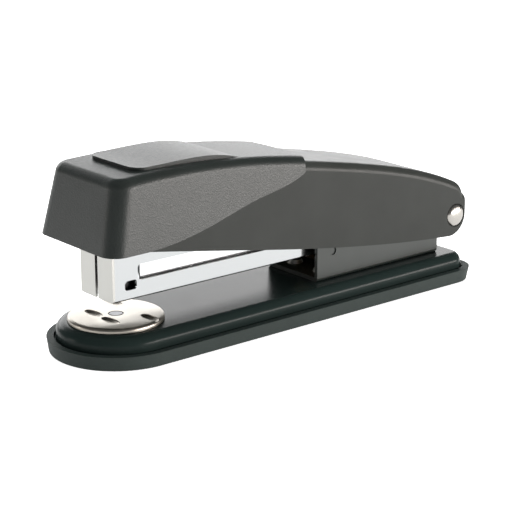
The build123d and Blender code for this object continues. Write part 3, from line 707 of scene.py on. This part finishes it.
# ------------------------------------------------------------------ sub-assemblies
@dataclass
class AnvilDisc:
    """The turning disc with two pairs of staple grooves.

    Attributes:
        edge: radius of the rolled rim.
        groove_length: length of one groove.
        groove_width: width of one groove.
        groove_depth: depth of one groove.
        inward_offset: distance of the inward pair from the middle.
        outward_offset: distance of the outward pair from the middle.
        inward_start: gap from the middle line to an inward groove.
        outward_start: gap from the middle line to an outward groove.
        pin_hole: radius of the hole for the anvil pin.
        hole_tool: height of the tool that cuts the hole.
    """

    edge: float = 0.9 * MM
    groove_length: float = 7.4 * MM
    groove_width: float = 3.2 * MM
    groove_depth: float = 0.75 * MM
    inward_offset: float = -4.6 * MM
    outward_offset: float = 5.1 * MM
    inward_start: float = 0.3 * MM
    outward_start: float = 5.0 * MM
    pin_hole: float = 2.15 * MM
    hole_tool: float = 10 * MM

    def build(self) -> bpy.types.Object:
        """Models the disc.

        Returns:
            The disc.
        """
        low, high = (Vector(corner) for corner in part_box("anvil_plate"))
        middle = (low + high) / 2
        radius = (high.x - low.x) / 2
        disc = Forge.cylinder(radius, high.z - low.z, middle, Forge.UPRIGHT, 96)
        Forge.pick_edges(disc, lambda a, b: min(a.z, b.z) > middle.z)
        bpy.ops.mesh.bevel(offset=self.edge, segments=5, affect="EDGES")
        hole = Forge.cylinder(self.pin_hole, self.hole_tool, middle, Forge.UPRIGHT, 40)
        Forge.cut(disc, hole)
        pairs = ((self.inward_offset, self.inward_start), (self.outward_offset, self.outward_start))
        for offset, start in pairs:
            for side in (-1, 1):
                Forge.cut(disc, self.leaf(Vector((middle.x + offset, 0, high.z)), start, side))
        return disc

    def leaf(self, root: Vector, start: float, side: int) -> bpy.types.Object:
        """Models the tool that presses one groove, an ellipsoid deepest at its middle.

        Args:
            root: point on the disc's middle line.
            start: gap from the middle line.
            side: -1 or 1 across the disc.

        Returns:
            The tool.
        """
        Forge.idle()
        length = self.groove_length / 2
        place = root + Vector((0, side * (start + length), 0))
        bpy.ops.mesh.primitive_uv_sphere_add(segments=32, ring_count=20, radius=1, location=place)
        tool = bpy.context.object
        tool.scale = (self.groove_width / 2, length, self.groove_depth)
        Forge.settle(tool)
        return tool


@dataclass
class PivotHeads:
    """The pivot pin with its two domed heads.

    Attributes:
        shank: radius of the pin between its heads.
        head: radius of a head.
        rise: height of a head's dome.
    """

    shank: float = 1.8 * MM
    head: float = 3.5 * MM
    rise: float = 1.3 * MM

    def build(self) -> bpy.types.Object:
        """Models the pin.

        Returns:
            The pin.
        """
        low, high = (Vector(corner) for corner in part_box("pivot_pin"))
        middle = (low + high) / 2
        seat = high.y - self.rise
        pin = Forge.cylinder(self.shank, seat * 2 + self.rise, middle, Forge.ACROSS, 48)
        domes = [self.dome(middle, seat, side) for side in (-1, 1)]
        Forge.idle()
        for piece in (pin, *domes):
            piece.select_set(True)
        bpy.context.view_layer.objects.active = pin
        bpy.ops.object.join()
        return pin

    def dome(self, middle: Vector, seat: float, side: int) -> bpy.types.Object:
        """Models one domed head, flat where it seats on the handle.

        Args:
            middle: middle of the pin.
            seat: distance of the seat from the middle.
            side: -1 or 1 across the stapler.

        Returns:
            The head.
        """
        Forge.idle()
        place = Vector((middle.x, side * seat, middle.z))
        bpy.ops.mesh.primitive_uv_sphere_add(
            segments=48, ring_count=32, radius=self.head, location=place, rotation=Forge.ACROSS
        )
        dome = bpy.context.object
        dome.scale = (1.0, 1.0, self.rise / self.head)
        Forge.settle(dome)
        Forge.pick_edges(dome, lambda a, b: min(side * a.y, side * b.y) < seat - MERGE)
        bpy.ops.mesh.delete(type="EDGE")
        bpy.ops.mesh.select_all(action="SELECT")
        bpy.ops.mesh.fill_holes(sides=0)
        bpy.ops.object.mode_set(mode="OBJECT")
        return dome


@dataclass
class CoilSpring:
    """A coil spring between the two bodies of one joint.

    Attributes:
        node: the CAD node it stands for.
        wire: diameter of its wire.
        turns: number of turns.
        lengthwise: True when it lies along X, False when it stands along Z.
        low_body: the body its low end rests on; not used.
        high_body: the body its high end rests on; not used.
        wire_sides: sides of the wire's ring.
        turn_steps: steps of one turn.
    """

    node: str
    wire: float
    turns: int
    lengthwise: bool
    low_body: str
    high_body: str
    wire_sides: int = 14
    turn_steps: int = 32

    def build(self) -> bpy.types.Object:
        """Models the wire's ring, winds it and lays it in place.

        Returns:
            The spring.
        """
        low, high = (Vector(corner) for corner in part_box(self.node))
        middle = (low + high) / 2
        rise = (high.x - low.x if self.lengthwise else high.z - low.z) - self.wire
        radius = (high.y - low.y - self.wire) / 2
        Forge.idle()
        bpy.ops.mesh.primitive_circle_add(
            vertices=self.wire_sides, radius=self.wire / 2, rotation=(math.pi / 2, 0, 0)
        )
        spring = bpy.context.object
        Forge.settle(spring)
        bpy.ops.object.mode_set(mode="EDIT")
        bpy.ops.mesh.select_all(action="SELECT")
        bpy.ops.transform.translate(value=(radius, 0, 0))
        bpy.ops.object.mode_set(mode="OBJECT")
        winding = spring.modifiers.new("winding", "SCREW")
        winding.screw_offset = rise / self.turns
        winding.iterations = self.turns
        winding.steps = winding.render_steps = self.turn_steps
        winding.use_smooth_shade = True
        bpy.ops.object.modifier_apply(modifier=winding.name)
        bpy.ops.object.mode_set(mode="EDIT")
        bpy.ops.mesh.select_all(action="SELECT")
        bpy.ops.mesh.fill_holes(sides=0)
        bpy.ops.object.mode_set(mode="OBJECT")
        if self.lengthwise:
            spring.rotation_euler = (0, math.pi / 2, 0)
            spring.location = (low.x + self.wire / 2, middle.y, middle.z)
        else:
            spring.location = (middle.x, middle.y, low.z + self.wire / 2)
        Forge.settle(spring)
        return spring

    def tie(self, spring: bpy.types.Object) -> None:
        """Bakes the spring's place into its mesh.

        Args:
            spring: the finished spring.
        """
        low, high = (Vector(corner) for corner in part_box(self.node))
        start = Vector(((low.x + high.x) / 2, 0, (low.z + high.z) / 2))
        end = start.copy()
        axis = 0 if self.lengthwise else 2
        start[axis], end[axis] = low[axis], high[axis]
        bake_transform(spring)


@dataclass
class LiftLeaf:
    """The leaf under the magazine.

    Attributes:
        clamped: length of the flat end that the base holds; not used.
    """

    clamped: float = 10 * MM

    def build(self) -> bpy.types.Object:
        """Copies the leaf and joins the seams of its faces.

        Returns:
            The leaf.
        """
        Forge.idle()
        leaf = bpy.data.objects.new("lift_leaf", frame["nodes"]["lift_spring"].data.copy())
        bpy.context.collection.objects.link(leaf)
        bpy.context.view_layer.objects.active = leaf
        leaf.select_set(True)
        bpy.ops.object.mode_set(mode="EDIT")
        bpy.ops.mesh.select_all(action="SELECT")
        bpy.ops.mesh.remove_doubles(threshold=MERGE)
        bpy.ops.object.mode_set(mode="OBJECT")
        return leaf

    def tie(self, leaf: bpy.types.Object) -> None:
        """Bakes the leaf's place into its mesh.

        Args:
            leaf: the finished leaf.
        """
        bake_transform(leaf)


def main() -> None:
    """Builds the studio and every sub-assembly in order."""
    logging.basicConfig(level=logging.INFO, format="%(name)s: %(message)s")
    Studio().build()
    for row in frame["record"]["subparts"]:
        dress(frame["nodes"][row["node"]], Slot(row["material_slot"]))
        LOG.info("dressed %s", row["node"])
    disc = AnvilDisc().build()
    Forge.finish(disc, "anvil_disc", "anvil_plate", Slot.ANVIL)
    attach(disc, "anvil")
    pin = PivotHeads().build()
    Forge.finish(pin, "pivot_heads", "pivot_pin", Slot.NICKEL)
    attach(pin, "base")
    lift = LiftLeaf()
    leaf = lift.build()
    Forge.finish(leaf, "lift_leaf", "lift_spring", Slot.BRONZE)
    lift.tie(leaf)
    for coil in (
        CoilSpring("anvil_spring", 0.45 * MM, 3, False, "anvil_button", "base"),
        CoilSpring("pusher_spring", 0.4 * MM, 16, True, "pusher", "magazine"),
    ):
        spring = coil.build()
        Forge.finish(spring, coil.node.replace("spring", "coil"), coil.node, Slot.SPRING)
        coil.tie(spring)


if __name__ == "__main__":
    main()
